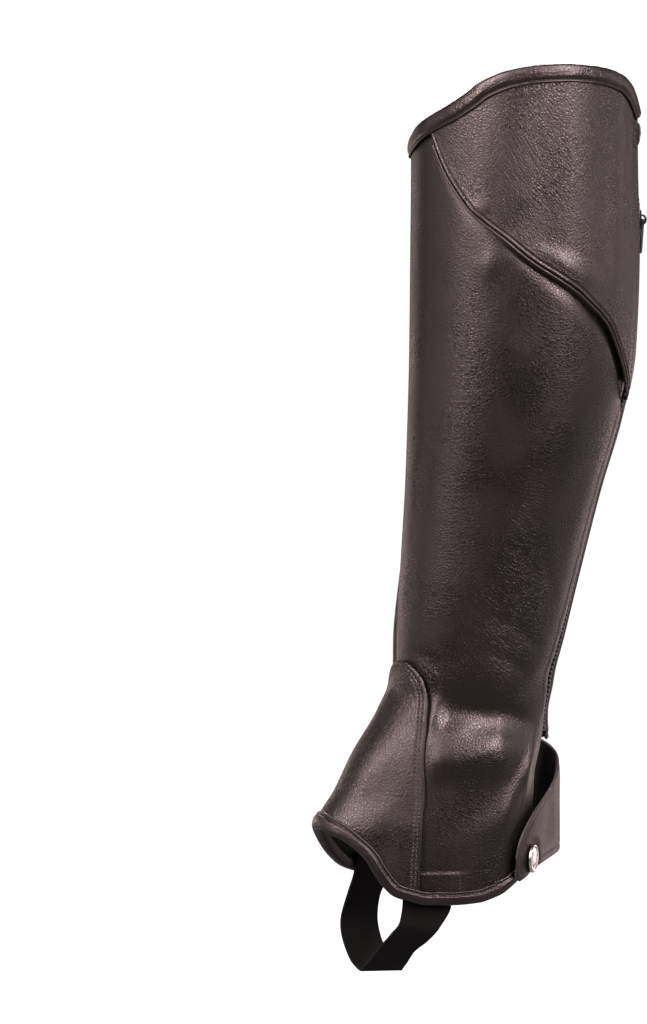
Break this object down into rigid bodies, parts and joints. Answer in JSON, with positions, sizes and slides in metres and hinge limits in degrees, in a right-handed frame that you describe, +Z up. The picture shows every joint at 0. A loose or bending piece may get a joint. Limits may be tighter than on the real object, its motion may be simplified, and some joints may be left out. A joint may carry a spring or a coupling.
{
  "type": "half chap",
  "caption": "Left leather half chap standing hollow as on a leg, with a raised outer top, rounded vamp, back zip, heel flap with a snap, and an elastic strap under the foot.",
  "frame": {"origin": "middle of the calf hollow, 305 mm above the sole line, where the leg holds the chap", "axes": "-X towards the toe, +X towards the heel, -Y towards the outer side of this left chap, +Z up the leg"},
  "size_m": [0.1716, 0.1151, 0.4588],
  "materials": {
    "leather": "pebbled, half gloss",
    "inner_leather": "matt",
    "binding": "smooth, half gloss",
    "fabric": "woven tape",
    "elastic": "ribbed elastic",
    "zip": "dark, half gloss",
    "steel": "polished"
  },
  "bodies": {
    "chap": {"outer_panel": "leather", "inner_panel": "inner_leather", "top_overlay": "leather", "vamp": "leather", "heel_flap": "leather", "top_binding": "binding", "hem_binding": "binding", "overlay_welt": "binding", "zip_tape_outer": "fabric", "zip_tape_inner": "fabric", "zip_teeth_outer": "zip", "zip_teeth_inner": "zip", "zip_slider": "zip", "snap_cap": "steel", "foot_strap": "elastic"},
    "pull": {"zip_pull": "zip"}
  },
  "joints": [
    {"name": "zip_pull_turn", "type": "hinge", "parent": "chap", "child": "pull", "pos_m": [0.04855, -0.03277, 0.04513], "axis": [-0.5875, -0.8092, 0], "range_deg": [0, 170]}
  ]
}
